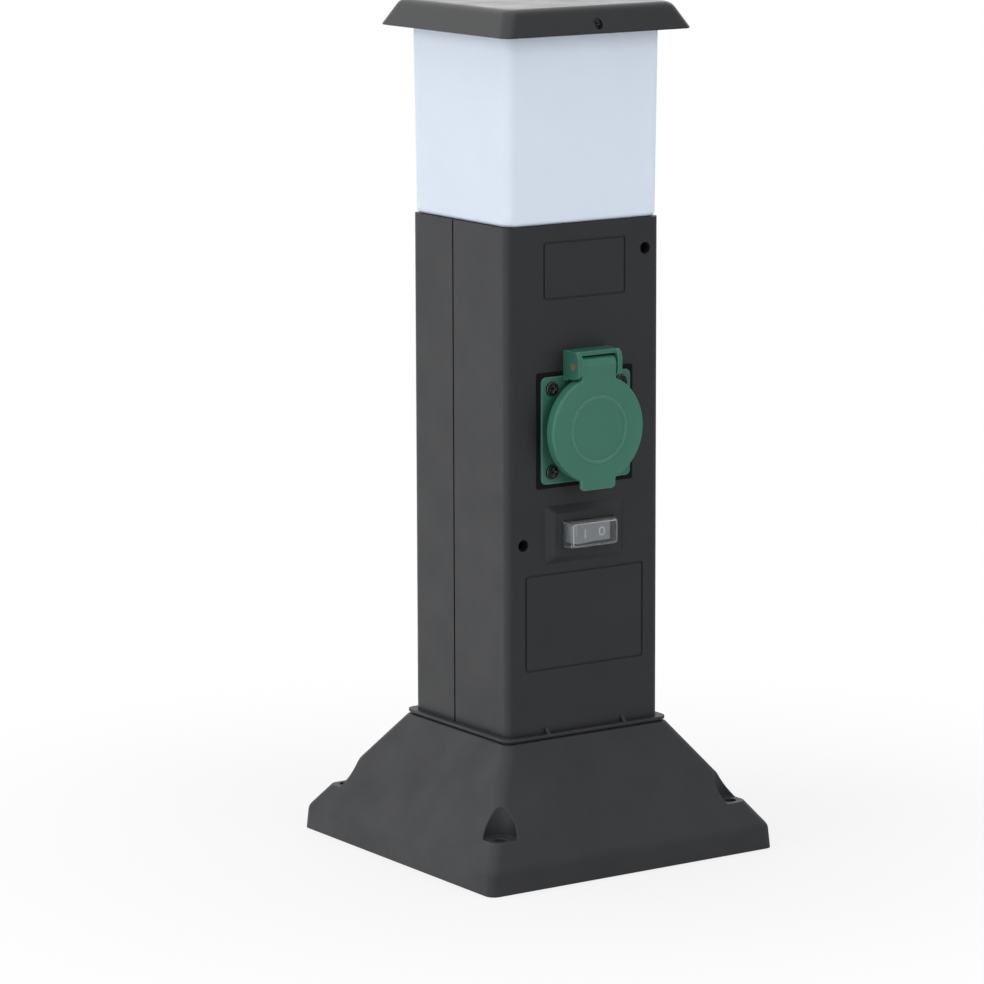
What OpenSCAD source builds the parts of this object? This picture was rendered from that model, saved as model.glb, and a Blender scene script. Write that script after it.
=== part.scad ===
// Garden socket post with lamp: a square post on a hollow plinth, with a
// hinged-lid earthed outlet, a rocker switch under a clear boot, and a lamp
// under a flat cap. The front faces -Y and the ground is Z = 0.

/* [Overall] */
// Height of the whole object
total_h = 395; // [380:1:420]

/* [Base] */
// Side length of the square base
base_w = 160; // [156:1:200]
// Height of the base, from the ground to its flat top
base_h = 58.5; // [52:0.1:70]
// Height of the upright skirt round the base
skirt_h = 10.7; // [8:0.1:14]
// How far each side of the skirt leans in
skirt_draft = 0.8; // [0.2:0.1:2]
// Corner radius of the skirt
base_r = 4.5; // [3.5:0.5:8]
// Wall thickness of the base
base_wall = 3; // [2.2:0.1:3.4]
// How far the foot stands out on each side of the post
foot_ledge = 3.4; // [3:0.1:8]
// Corner radius of the foot
foot_r = 5; // [4:0.5:7]
// Distance of the ground bolts from the edge of the base
bolt_inset = 15; // [13:0.5:16]
// Diameter of the ground bolt holes
bolt_d = 6.4; // [4:0.1:8]
// Diameter of the pocket round each ground bolt
pocket_d = 15.4; // [14:0.1:18]
// Height of the pocket floors above the ground
pocket_z = 21.8; // [16:0.1:26]
// Width of the cable's way out at the back of the skirt
cable_slot_w = 10; // [7:0.5:14]
// Diameter of the cable hole in the middle of the base
cable_hole_d = 36; // [20:1:40]

/* [Post] */
// Width of the post, seen from the front
post_w = 85.2; // [80:0.1:96]
// Depth of the post, front to back
post_d = 78.4; // [76:0.1:92]
// Corner radius of the post
post_r = 4; // [3.6:0.1:6]
// Wall thickness of the two shells
shell_wall = 2.5; // [2:0.1:3]
// Distance of the seam behind the middle of the post
seam_y = 5; // [2:0.5:9]
// Distance of the upper shell screw below the top of the post
upper_screw_drop = 14.2; // [12:0.2:17]
// Height of the lower shell screw above the ground
lower_screw_z = 149.9; // [144:0.1:158]
// Distance of the shell screws from the sides of the post
shell_screw_inset = 8.5; // [6.5:0.1:9]
// Diameter of the deep hole in front of each shell screw
shell_screw_hole_d = 5.5; // [4.8:0.1:6.5]

/* [Blank panels] */
// Width of the lower blank panel
lower_panel_w = 66.4; // [40:0.2:70]
// Height of the lower blank panel
lower_panel_h = 45.2; // [20:0.1:48]
// Height of the lower panel's middle above the ground
lower_panel_z = 113; // [96:0.1:114]
// Width of the upper blank panel
upper_panel_w = 45.8; // [20:0.2:50]
// Height of the upper blank panel
upper_panel_h = 26.6; // [10:0.1:28]
// Distance of the upper panel's middle below the top of the post
upper_panel_drop = 20.8; // [18:0.1:26]
// Width of the groove round each blank panel
panel_groove_w = 0.9; // [0.5:0.1:1.5]
// Depth of the groove round each blank panel
panel_groove_d = 0.6; // [0.3:0.1:1]

/* [Socket] */
// Height of the socket's middle above the ground
socket_z = 202.1; // [199:0.1:208]
// Side length of the square flange
flange_w = 49.6; // [48:0.1:54]
// Thickness of the flange
flange_t = 1.1; // [0.8:0.1:2]
// Distance between two neighbouring flange screws
flange_screw_pitch = 38.6; // [38:0.1:40]
// Thickness of the gasket behind the flange
gasket_t = 0.4; // [0.4:0.1:1]
// How far the gasket stands out round the flange
gasket_margin = 2; // [0.5:0.1:2.5]
// Height of the collar round the plug well, over the flange
collar_h = 4.5; // [3.5:0.1:5.5]
// Inner diameter of the plug well
well_d = 39; // [38.5:0.1:39.5]
// Depth of the plug well
well_depth = 17.5; // [16:0.1:19]
// Wall thickness of the well's barrel
barrel_wall = 2; // [1.6:0.1:2.2]
// Distance between the two plug pins
pin_pitch = 19; // [19:0.1:19.2]
// Diameter of the two pin holes
pin_hole_d = 5.6; // [5:0.1:6]

/* [Socket lid] */
// Diameter of the lid
lid_d = 50.5; // [47:0.1:52]
// Thickness of the lid
lid_t = 5.1; // [4.4:0.1:6]
// Width of the lid's neck, from cheek to cheek
lid_neck_w = 18.6; // [16:0.2:21]
// Width of the finger tab
lid_tab_w = 19.3; // [14:0.1:24]
// How far the finger tab stands out below the lid
lid_tab_l = 2.6; // [1.5:0.1:5]
// Diameter of the plain raised ring on the lid
lid_ring_d = 30; // [20:0.5:40]
// Height of the hinge pin above the socket's middle
hinge_rise = 29.7; // [29.6:0.1:31]
// Diameter of the hinge pin
hinge_pin_d = 3; // [2.4:0.1:3.2]
// Outer diameter of the lid's barrel round the pin
hinge_barrel_d = 8; // [7.6:0.1:8.4]
// Thickness of the two hinge cheeks
cheek_t = 2.3; // [2:0.1:4]

/* [Switch] */
// Height of the switch's middle above the ground
switch_z = 153.4; // [151:0.1:158]
// Width of the raised frame at the post's face
frame_w = 44; // [42:0.5:50]
// Height of the raised frame at the post's face
frame_h = 27; // [25:0.5:28]
// How far the raised frame stands out
frame_t = 3; // [2.6:0.1:4]
// Slope of the frame's sides, per side
frame_slope = 3.65; // [2:0.05:4]
// Width of the clear boot where it leaves the frame
boot_w = 28.4; // [27.4:0.1:29.4]
// Height of the clear boot where it leaves the frame
boot_h = 12.4; // [11.8:0.1:12.8]
// How far the clear boot stands out of the frame
boot_rise = 6; // [5.8:0.1:8]
// Length of the rocker
rocker_l = 21.4; // [17:0.1:21.6]
// Width of the rocker
rocker_w = 8.4; // [6.4:0.1:8.6]
// Angle between the rocker's two positions
rocker_swing = 16; // [10:1:18]

/* [Lamp] */
// Height of the diffuser between the post and the cap
lamp_h = 86.6; // [80:0.2:110]
// Wall thickness of the diffuser
diffuser_wall = 2; // [1.5:0.1:3]
// How far the diffuser's foot stands back from the post's faces
diffuser_setback = 0.6; // [0.4:0.1:2]
// How much each side of the diffuser leans out up to its rim
diffuser_draft = 1; // [0:0.1:1.4]
// Height of the cap
cap_h = 12.3; // [11:0.1:16]
// How far the cap stands out on each side of the post's width
cap_overhang = 9.5; // [8:0.1:16]
// Wall thickness of the cap
cap_wall = 2.5; // [2:0.1:3]
// Diameter of the bulb's globe
globe_d = 45; // [40:1:48]

/* [Hidden] */
$fn = 48;

// Colours
anthracite = [0.20, 0.205, 0.215];
green = [0.22, 0.42, 0.34];
dark_green = [0.12, 0.32, 0.26];
opal = [0.86, 0.90, 0.95];
black = [0.06, 0.06, 0.065];
brass = [0.80, 0.62, 0.30];
copper = [0.72, 0.42, 0.28];
steel = [0.70, 0.71, 0.73];
zinc = [0.62, 0.63, 0.64];
grey = [0.55, 0.56, 0.58];
white = [0.92, 0.92, 0.90];
clear = [0.85, 0.87, 0.88, 0.5];

// Fits between pieces
cut = 1;             // how far a cutting tool runs past what it cuts
slide_fit = 0.2;     // between pieces that are put into each other
screw_fit = 0.05;    // between a screw and its hole, radially
pin_fit = 0.05;      // between the hinge pin and the lid, radially
moving_gap = 0.4;    // between a moving piece and what it passes
seat_gap = 0.3;      // between a closed lid and its seat

// Base
base_half = base_w / 2;
skirt_top_half = base_half - skirt_draft;
foot_half_x = post_w / 2 + foot_ledge;
foot_half_y = post_d / 2 + foot_ledge;
slope_x = (skirt_top_half - foot_half_x) / (base_h - skirt_h);
slope_y = (skirt_top_half - foot_half_y) / (base_h - skirt_h);
skirt_edge = 1.5;    // reach of the rounding between skirt and slope
foot_edge = 0.8;     // reach of the rounding at the base's top edge
inner_r = 1.5;
bolt_at = base_half - bolt_inset;
pocket_wall = 2.4;
rib_t = 2;
rib_h = 15;
cable_slot_h = 9.5;

// Foot
foot_gap = 1;        // shadow gap between the base and the foot's lip
foot_gap_inset = 1.5;
foot_lip_t = 1.2;
lip_z = base_h + foot_gap;
post_z = lip_z + foot_lip_t;
tongue_h = 6;
tongue_t = 2;
tongue_l = 30;
gusset_x = 21.5;
gusset_h = 3;
gusset_l = 2.6;
gusset_t = 1.5;

// Screws: head diameter, head height, shank diameter, length of the shank
base_screw = [8, 2.6, 4, 19];
shell_screw = [5, 2.4, 3.5, 24];
socket_screw = [6.2, 1.5, 3, 11];
small_screw = [5, 1.8, 2.5, 8];
clamp_bite = 0.6;

// Post
front_y = -post_d / 2;
rear_y = post_d / 2;
post_top = total_h - cap_h - lamp_h;
wall_x = post_w / 2 - shell_wall;
wall_y = post_d / 2 - shell_wall;
seam_groove_w = 0.5;  // share of the seam's groove in each shell
seam_groove_d = 0.8;
lap_t = 1;
lap_l = 3;
screw_boss_d = 8;
socket_boss_d = 6.6;
socket_boss_l = 8;
clamp_boss_d = 7;
boss_web_t = 3;
base_boss_h = 18;
base_boss_inset = 11;
base_boss_x = post_w / 2 - base_boss_inset;
base_boss_y = post_d / 2 - base_boss_inset;
shell_screw_x = post_w / 2 - shell_screw_inset;
upper_screw_z = post_top - upper_screw_drop;
upper_panel_z = post_top - upper_panel_drop;
shell_tube_d = shell_screw_hole_d + 4;
shell_tube_end = seam_y - lap_l - 2;
shell_screw_seat = shell_tube_end - 9;
panel_r = 1.5;

// Top of the post: the shells' inward rim clamps the lamp tray
rim_t = 2;
rim_w = 7.5;
tray_t = 3;
tray_top = post_top - rim_t;
tray_bottom = tray_top - tray_t;
tray_half_x = wall_x - slide_fit;
tray_half_y = wall_y - slide_fit;
lamp_open_x = wall_x - rim_w;
lamp_open_y = wall_y - rim_w;
ledge_l = 40;
ledge_d = 4;
ledge_h = 4;
platform_x = lamp_open_x - slide_fit;
platform_y = lamp_open_y - slide_fit;
lamp_gasket_t = 1;
lamp_gasket_w = 3;
lamp_gasket_inset = 0.5;
platform_top = post_top - lamp_gasket_t;
diffuser_screw_inset = 8;  // from the edges of the opening under the lamp
diffuser_screw_x = lamp_open_x - diffuser_screw_inset;
diffuser_screw_y = lamp_open_y - diffuser_screw_inset;
well_cup_d = 44;
well_cup_wall = 2;
well_cup_floor = post_top - 18;
holder_cable_d = 12;

// Lamp holder and bulb
holder_d = 38;
holder_h = 33;
holder_floor = 5;
holder_bore_d = 29;
holder_screw_x = 9;
holder_screw = [5, 1.8, 2.5, holder_floor + well_cup_wall];
sleeve_wall = 0.6;
sleeve_h = 24;
bulb_base_d = 26.4;
bulb_base_h = 22;
bulb_tip_h = 3;
bulb_tip_d = 9;
bulb_neck_d = 27;
contact_rise = 3;
leaf_l = 9;
leaf_w = 5;
leaf_t = 0.5;
leaf_fold = 1;
bulb_z = well_cup_floor + holder_floor + contact_rise;
housing_z = bulb_z + bulb_tip_h + bulb_base_h;
housing_h = 17;
housing_foot_h = 5;
housing_foot_flare = 1;
globe_low = 0.49;    // how far below its middle the globe starts, over its radius
globe_z = housing_z + housing_h + globe_d / 2 * globe_low;
housing_top_d = globe_d * sqrt(1 - globe_low * globe_low);

// Cap
cap_z = total_h - cap_h;
cap_half = post_w / 2 + cap_overhang;
cap_r = 5;
cap_lean = 6.6;       // how much each side leans in from the lower edge to the top
cap_edge = 2.8;
cap_ceiling = total_h - cap_wall;
diffuser_top = cap_ceiling - cap_wall;
diffuser_foot_r = 2.5;
diffuser_r = 4.5;
cap_screw_z = cap_z + 4.2;
cap_frame_t = 2;
cap_frame_h = 8;
cap_screw_sink = cap_wall + 3;
cap_screw_seat = cap_half - cap_screw_sink;  // where the heads' undersides lie
cap_screw_reach = 3;  // how far the screws' ends lie inside the post's faces
cap_screw = [4.6, 2, 3, cap_screw_seat - post_d / 2 + cap_screw_reach];
cap_lip = 0.5;       // reach of the rounding at the lower edge
cap_tube_l = 6;
cap_boss_d = 7.4;

// Socket: heights over the front face, outwards
barrel_d = well_d + 2 * barrel_wall;
flange_top = gasket_t + flange_t;
collar_top = flange_top + collar_h;
collar_wall = 2;
lid_back = collar_top + seat_gap;
lid_front = lid_back + lid_t;
well_floor = collar_top - well_depth;
plug_face_t = 3.9;
barrel_end = well_floor - plug_face_t;
core_collar_t = 3.5;
core_collar_end = barrel_end - core_collar_t;
tower_d = 12;
tower_l = 11;
tower_end = core_collar_end - tower_l;
contact_bore_d = 8;
contact_d = 6.8;
contact_slot = 0.8;
lug_w = 8;
lug_h = 9;
lug_l = 7;
earth_lug = [6.4, 8, 6];
lug_wire_d = 3;
contact_screw = [4, 1.4, 2.5, 3];
flange_r = 2.5;
flange_edge = 0.4;
gasket_r = 1;
head_sink = 0.5;      // how deep the flange screws' heads sit in the flange
snap_w = 8;
snap_l = 2.2;
snap_rise = 1;
snap_inset = 0.8;
screw_at = flange_screw_pitch / 2;
clip_w = 6;
clip_t = 0.8;
clip_y = well_d / 2 - 1.6;
clip_front = -2;
clip_bend = 5;        // from the arms' front ends back to their bend
clip_bow = 3;         // length of the arms' bowed part
clip_room = 4;       // how deep the arms' notches are cut into the plug's edge
pin_inset = 1.9;      // how far the pin lies in front of the lid's back
pin_proud = lid_back + pin_inset;
cheek_gap = 0.6;     // between the neck and each cheek
hinge_w = lid_neck_w + 2 * cheek_gap + 2 * cheek_t;
hinge_back = 0.3;    // the block's back, just clear of the post
gasket_top = flange_w / 2 + gasket_margin + slide_fit;
hinge_plate_front = pin_proud - hinge_barrel_d / 2 - moving_gap;
hinge_roof_y = hinge_rise + hinge_barrel_d / 2 + 0.9;
hinge_roof_t = 1.9;
hinge_roof_top = hinge_roof_y + hinge_roof_t;
hinge_roof_front = pin_proud + 2.4;
hinge_foot_y = flange_w / 2 - 2;
cheek_front = 4.5;   // from the pin to the cheeks' fronts
cheek_r = 4;
lid_r = lid_d / 2;
// The cheeks end just above the lid's rim beside the neck
cheek_inside = lid_neck_w / 2 + cheek_gap;
cheek_foot_y = sqrt(lid_r * lid_r - cheek_inside * cheek_inside) + moving_gap;
lid_face_t = 2;
lid_rim_w = 2.2;
lid_edge = 1.2;
tab_edge = 0.8;
neck_back = lid_back + 0.8;
tab_t = 2.4;          // thickness of the finger tab behind the lid's front
seal_t = lid_t - lid_face_t;
seal_inner_d = well_d - 1;
spring_room_w = 9;
spring_room_r = 3;
spring_wire = 0.7;
spring_coil_d = 4.6;
spring_turns = 6;
spring_gap = 0.45;    // between neighbouring turns
spring_steps = 24;

// Switch
boot_wall = 0.7;
boot_taper_w = 3.2;  // how much narrower the boot is at its front
boot_taper_h = 1;
boot_front_w = boot_w - boot_taper_w;
boot_front_h = boot_h - boot_taper_h;
boot_flange_rim = 1.25;
boot_flange_w = boot_w + 2 * boot_flange_rim;
boot_flange_h = boot_h + 2 * boot_flange_rim;
boot_flange_t = 0.8;
frame_plate_t = 1.2;
boot_flange_top = frame_t - frame_plate_t;
bezel_t = 2;
bezel_top = boot_flange_top - boot_flange_t;
bezel_back = bezel_top - bezel_t;
bezel_w = boot_flange_w - 2 * slide_fit;
bezel_h = boot_flange_h - 2 * slide_fit;
body_back = -19;
rocker_pivot = bezel_top - 2.5;
rocker_out = 7.5;     // from the pivot to the rocker's front
rocker_in = 3;       // from the pivot to its back
rocker_gap = 0.3;
rocker_end_gap = 0.6;
body_wall_w = 1.8;
body_wall_h = 1.3;
body_w = rocker_l + 2 * rocker_end_gap + 2 * body_wall_w;
body_h = rocker_w + 2 * rocker_gap + 2 * body_wall_h;
rocker_room = rocker_pivot - rocker_in - 3.5;
trunnion_d = 2.4;
trunnion_l = 0.9;
bracket_boss_d = 6;
bracket_screw_x = boot_flange_w / 2 + 2 * slide_fit + bracket_boss_d / 2;
bracket_w = 2 * bracket_screw_x + bracket_boss_d + 1;
bracket_h = boot_flange_h + 2.6;
bracket_t = 2;
bracket_back = -shell_wall - clamp_bite - bracket_t;
bracket_screw = [5, 1.8, 2.5, bracket_t + clamp_bite + shell_wall - 0.3];
blade_w = 4.8;
blade_t = 0.8;
blade_l = 8;
blade_x = 7.5;

// Cable clamp and terminals on the rear shell
clamp_z = 88;
clamp_x = 11;
clamp_boss_l = 8;
clamp_w = 30;
clamp_t = 5;
clamp_h = 9;
clamp_cable_d = 8;
terminal_z = 118;
terminal_w = 34;
terminal_d = 10;
terminal_h = 17;
terminal_pad = 4;
terminal_face = wall_y - terminal_pad - terminal_d;
pole_pitch = 10;
pole_d = 4.5;
pole_inset = 4.5;     // from the block's face to the middle of the bores
pole_row = 4.5;       // from the block's middle to each row of screws
pole_collar_d = 6.5;
pole_collar_h = 4;
pole_screw = [3.2, 1.5, 2.4, 4];
pole_screw_seat = 1.5;
block_screw = [3, 1, 2.5, 11];

// A point of a curve from a to c that b pulls out
function bend(a, b, c, steps) = [
    for (i = [0:steps])
        let (t = i / steps)
        (1 - t) * (1 - t) * a + 2 * t * (1 - t) * b + t * t * c
];

function mix(a, b, t) = a + (b - a) * t;

// The points of a rounded rectangle at height z
function ring(z, hx, hy, r, steps) = [
    for (q = [0:3], i = [0:steps])
        let (
            a = 90 * (q + i / steps),
            sx = (q == 0 || q == 3) ? 1 : -1,
            sy = (q < 2) ? 1 : -1
        )
        [sx * (hx - r) + r * cos(a), sy * (hy - r) + r * sin(a), z]
];

// A solid through rounded rectangles, each given as [z, half x, half y, r]
module loft(sections, steps = 6) {
    rings = [for (s = sections) ring(s[0], s[1], s[2], s[3], steps)];
    n = len(rings[0]);
    last = len(rings) - 1;
    polyhedron(
        points = [for (r = rings) each r],
        faces = concat(
            [[for (i = [0:n - 1]) i]],
            [[for (i = [n - 1:-1:0]) last * n + i]],
            [for (k = [0:last - 1], i = [0:n - 1])
                let (j = (i + 1) % n)
                [k * n + i, (k + 1) * n + i, (k + 1) * n + j, k * n + j]]
        ),
        convexity = 6
    );
}

module rounded_rect(w, d, r) {
    square([w - 2 * r, d], center = true);
    square([w, d - 2 * r], center = true);
    for (x = [-1, 1], y = [-1, 1])
        translate([x * (w / 2 - r), y * (d / 2 - r)]) circle(r = r);
}

// Copies at the four corners of a rectangle
module at_corners(x, y) {
    for (sx = [-1, 1], sy = [-1, 1]) translate([sx * x, sy * y, 0]) children();
}

// Extrudes an [outwards, up] profile to both sides, in the frame below
module across(w) {
    translate([w / 2, 0, 0]) rotate([0, -90, 0]) linear_extrude(w) children();
}

// A frame on the post's front face: x right, y up, z outwards
module on_front(z) {
    translate([0, front_y, z]) rotate([90, 0, 0]) children();
}

module tube(outer, inner, h) {
    difference() {
        cylinder(d = outer, h = h);
        translate([0, 0, -cut]) cylinder(d = inner, h = h + 2 * cut);
    }
}

// A screw with its head's underside at z = 0, the shank going down
module screw(size) {
    head_d = size[0];
    head_h = size[1];
    slot_w = head_d * 0.17;
    difference() {
        union() {
            cylinder(d = head_d, h = head_h);
            translate([0, 0, -size[3]]) cylinder(d = size[2], h = size[3] + head_h / 2);
        }
        for (a = [0, 90]) rotate([0, 0, a])
            translate([-head_d * 0.3, -slot_w / 2, head_h * 0.4])
                cube([head_d * 0.6, slot_w, head_h]);
    }
}

// The hole of a screw placed the same way, with room for its head above
module screw_hole(size, head_room = 0) {
    translate([0, 0, -size[3] - cut])
        cylinder(d = size[2] + 2 * screw_fit, h = size[3] + 2 * cut);
    if (head_room > 0) cylinder(d = size[0] + 2 * slide_fit, h = head_room);
}

// Base

function slope_half(slope, z) = skirt_top_half - slope * (z - skirt_h);

// How wide the sloping wall is when it is cut level, and where its inside starts
function slope_wall(slope) = base_wall * sqrt(1 + slope * slope);

function knee_z(slope) = skirt_h - (slope_wall(slope) - base_wall) / slope;

// Half the plinth's width over its height, as [z, half], for one pair of sides
function plinth_profile(slope, foot_half) = concat(
    [[0, base_half]],
    bend([skirt_h - skirt_edge, mix(base_half, skirt_top_half, 1 - skirt_edge / skirt_h)],
        [skirt_h, skirt_top_half],
        [skirt_h + skirt_edge, slope_half(slope, skirt_h + skirt_edge)], 3),
    bend([base_h - foot_edge, slope_half(slope, base_h - foot_edge)],
        [base_h, foot_half],
        [base_h, foot_half - foot_edge], 3)
);

module plinth_outside() {
    px = plinth_profile(slope_x, foot_half_x);
    py = plinth_profile(slope_y, foot_half_y);
    loft([for (i = [0:len(px) - 1])
        [px[i][0], px[i][1], py[i][1], mix(base_r, foot_r, px[i][0] / base_h)]]);
}

module plinth_inside() {
    skirt_inner = skirt_top_half - base_wall;
    roof = base_h - base_wall;
    knee = min(knee_z(slope_x), knee_z(slope_y));
    loft([
        [-cut, skirt_inner, skirt_inner, inner_r],
        [knee, skirt_inner, skirt_inner, inner_r],
        [roof, slope_half(slope_x, roof) - slope_wall(slope_x),
            slope_half(slope_y, roof) - slope_wall(slope_y), inner_r]
    ]);
}

module plinth_inner_parts() {
    roof = base_h - base_wall;
    at_corners(bolt_at, bolt_at) {
        translate([0, 0, pocket_z - base_wall])
            cylinder(d = pocket_d + 2 * pocket_wall, h = base_h);
        cylinder(d = bolt_d + 2 * pocket_wall, h = pocket_z);
    }
    translate([0, 0, roof - rib_h / 2])
        cylinder(d = cable_hole_d + 2 * pocket_wall, h = rib_h);
    for (a = [0, 90]) rotate([0, 0, a])
        translate([-base_half, -rib_t / 2, roof - rib_h])
            cube([base_w, rib_t, rib_h + base_wall / 2]);
}

module base_plinth() {
    color(anthracite) difference() {
        union() {
            difference() {
                plinth_outside();
                plinth_inside();
            }
            intersection() {
                plinth_outside();
                plinth_inner_parts();
            }
        }
        at_corners(bolt_at, bolt_at) {
            translate([0, 0, pocket_z]) cylinder(d = pocket_d, h = base_h);
            translate([0, 0, -cut]) cylinder(d = bolt_d, h = base_h);
        }
        cylinder(d = cable_hole_d, h = base_h + cut);
        translate([0, 0, base_h - base_wall]) at_corners(base_boss_x, base_boss_y)
            rotate([180, 0, 0]) screw_hole(base_screw);
        cable_way_out();
    }
}

module cable_way_out() {
    r = cable_slot_w / 2;
    through = base_wall + skirt_draft + 2 * cut;
    translate([0, base_half + cut, 0]) rotate([90, 0, 0]) {
        translate([0, cable_slot_h - r, 0]) cylinder(d = cable_slot_w, h = through);
        translate([-r, -cut, 0]) cube([cable_slot_w, cable_slot_h - r + cut, through]);
    }
}

module base_screws() {
    color(steel) translate([0, 0, base_h - base_wall]) at_corners(base_boss_x, base_boss_y)
        rotate([180, 0, 0]) screw(base_screw);
}

module base_collar() {
    color(anthracite) difference() {
        union() {
            translate([0, 0, base_h]) linear_extrude(foot_gap) foot_outline(foot_gap_inset);
            translate([0, 0, lip_z]) linear_extrude(foot_lip_t) foot_outline();
            translate([0, 0, post_z]) collar_tongues();
            for (x = [-1, 1]) translate([x * gusset_x - gusset_t / 2, front_y, post_z]) gusset();
        }
        translate([0, 0, base_h - cut])
            cylinder(d = cable_hole_d, h = tongue_h + foot_gap + foot_lip_t + 2 * cut);
        translate([0, 0, base_h - base_wall]) at_corners(base_boss_x, base_boss_y)
            rotate([180, 0, 0]) screw_hole(base_screw);
    }
}

module foot_outline(inset = 0) {
    rounded_rect(2 * (foot_half_x - inset), 2 * (foot_half_y - inset), foot_r - inset);
}

// Upright tongues inside the shells' four walls
module collar_tongues() {
    x = wall_x - slide_fit - tongue_t;
    y = wall_y - slide_fit - tongue_t;
    for (s = [-1, 1]) {
        translate([s * (x + tongue_t / 2) - tongue_t / 2, -tongue_l / 2, 0])
            cube([tongue_t, tongue_l, tongue_h]);
        translate([-tongue_l / 2, s * (y + tongue_t / 2) - tongue_t / 2, 0])
            cube([tongue_l, tongue_t, tongue_h]);
    }
}

module gusset() {
    rotate([90, 0, 90]) linear_extrude(gusset_t)
        polygon([[0, 0], [-gusset_l, 0], [0, gusset_h]]);
}

// Shells

module post_outline(inset = 0) {
    rounded_rect(post_w - 2 * inset, post_d - 2 * inset, post_r - inset);
}

// The half of the post in front of or behind the seam
module post_half(front) {
    y0 = front ? front_y - cut : seam_y;
    y1 = front ? seam_y : rear_y + cut;
    translate([-post_w, y0]) square([2 * post_w, y1 - y0]);
}

module shell_walls(front) {
    translate([0, 0, post_z]) linear_extrude(post_top - post_z) intersection() {
        difference() {
            post_outline();
            post_outline(shell_wall);
        }
        post_half(front);
    }
    translate([0, 0, tray_top]) linear_extrude(rim_t) intersection() {
        difference() {
            post_outline(shell_wall / 2);
            square([2 * lamp_open_x, 2 * lamp_open_y], center = true);
        }
        post_half(front);
    }
}

// The groove that both shells share along the seam
module seam_groove(front) {
    y = front ? seam_y - seam_groove_w : seam_y - cut;
    for (x = [-1, 1])
        translate([x * post_w / 2 - seam_groove_d, y, post_z - cut])
            cube([2 * seam_groove_d, seam_groove_w + cut, post_top - post_z + 2 * cut]);
}

// A screw boss for the base, joined to both walls of its corner
module base_boss(sx, sy) {
    web = base_boss_inset - shell_wall / 2;
    translate([sx * base_boss_x, sy * base_boss_y, post_z]) {
        cylinder(d = screw_boss_d, h = base_boss_h);
        translate([sx > 0 ? 0 : -web, -boss_web_t / 2, 0]) cube([web, boss_web_t, base_boss_h]);
        translate([-boss_web_t / 2, sy > 0 ? 0 : -web, 0]) cube([boss_web_t, web, base_boss_h]);
    }
}

module base_boss_holes(sy) {
    translate([0, 0, base_h - base_wall]) for (sx = [-1, 1])
        translate([sx * base_boss_x, sy * base_boss_y, 0])
            rotate([180, 0, 0]) screw_hole(base_screw);
}

// Ledges under the lamp tray
module tray_ledge(sy) {
    y = sy > 0 ? wall_y - ledge_d : -wall_y - shell_wall / 2;
    translate([-ledge_l / 2, y, tray_bottom - ledge_h])
        cube([ledge_l, ledge_d + shell_wall / 2, ledge_h]);
}

// Places something at both shell screws, pointing along +Y
module at_shell_screws(y) {
    translate([shell_screw_x, y, upper_screw_z]) rotate([-90, 0, 0]) children();
    translate([-shell_screw_x, y, lower_screw_z]) rotate([-90, 0, 0]) mirror([1, 0, 0]) children();
}

module front_shell() {
    tube_start = -wall_y - shell_wall / 2;
    color(anthracite) difference() {
        union() {
            shell_walls(true);
            for (sx = [-1, 1]) base_boss(sx, -1);
            tray_ledge(-1);
            at_shell_screws(tube_start) {
                cylinder(d = shell_tube_d, h = shell_tube_end - tube_start);
                translate([0, -boss_web_t / 2, 0])
                    cube([shell_screw_inset - shell_wall / 2, boss_web_t, shell_tube_end - tube_start]);
            }
            on_front(socket_z) translate([0, 0, -shell_wall - socket_boss_l])
                at_corners(screw_at, screw_at)
                cylinder(d = socket_boss_d, h = socket_boss_l + shell_wall / 2);
            on_front(switch_z) switch_frame();
        }
        seam_groove(true);
        base_boss_holes(-1);
        on_front(socket_z) translate([0, 0, -shell_wall - cut])
            cylinder(d = barrel_d + 2 * slide_fit, h = shell_wall + 2 * cut);
        on_front(socket_z) at_flange_screws() screw_hole(socket_screw);
        on_front(switch_z) switch_cutout();
        blank_panel(lower_panel_w, lower_panel_h, lower_panel_z);
        blank_panel(upper_panel_w, upper_panel_h, upper_panel_z);
        at_shell_screws(front_y - cut)
            cylinder(d = shell_screw_hole_d, h = shell_screw_seat - front_y + cut);
        at_shell_screws(shell_screw_seat)
            cylinder(d = shell_screw[2] + 2 * screw_fit, h = shell_tube_end - shell_screw_seat + cut);
    }
}

// The groove round a blank panel
module blank_panel(w, h, z) {
    inner_w = w - 2 * panel_groove_w;
    inner_h = h - 2 * panel_groove_w;
    on_front(z) translate([0, 0, -panel_groove_d]) linear_extrude(panel_groove_d + cut)
        difference() {
            rounded_rect(w, h, panel_r);
            rounded_rect(inner_w, inner_h, panel_r - panel_groove_w / 2);
        }
}

module switch_frame() {
    loft([
        [-shell_wall / 2, frame_w / 2, frame_h / 2, 1],
        [0, frame_w / 2, frame_h / 2, 1],
        [frame_t, frame_w / 2 - frame_slope, frame_h / 2 - frame_slope, 1]
    ], 2);
    for (x = [-1, 1]) translate([x * bracket_screw_x, 0, -shell_wall - clamp_bite])
        cylinder(d = bracket_boss_d, h = clamp_bite + shell_wall / 2);
}

// The boot's window, the room for its flange, and the bracket's screw holes
module switch_cutout() {
    translate([0, 0, boot_flange_top - cut]) linear_extrude(frame_plate_t + 2 * cut)
        square([boot_w + slide_fit, boot_h + slide_fit], center = true);
    translate([0, 0, -shell_wall - cut]) linear_extrude(boot_flange_top + shell_wall + cut)
        square([boot_flange_w + 2 * slide_fit, boot_flange_h + 2 * slide_fit], center = true);
    for (x = [-1, 1]) translate([x * bracket_screw_x, 0, -shell_wall - clamp_bite - cut])
        cylinder(d = bracket_screw[2] + 2 * screw_fit, h = shell_wall + clamp_bite + cut);
}

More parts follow.
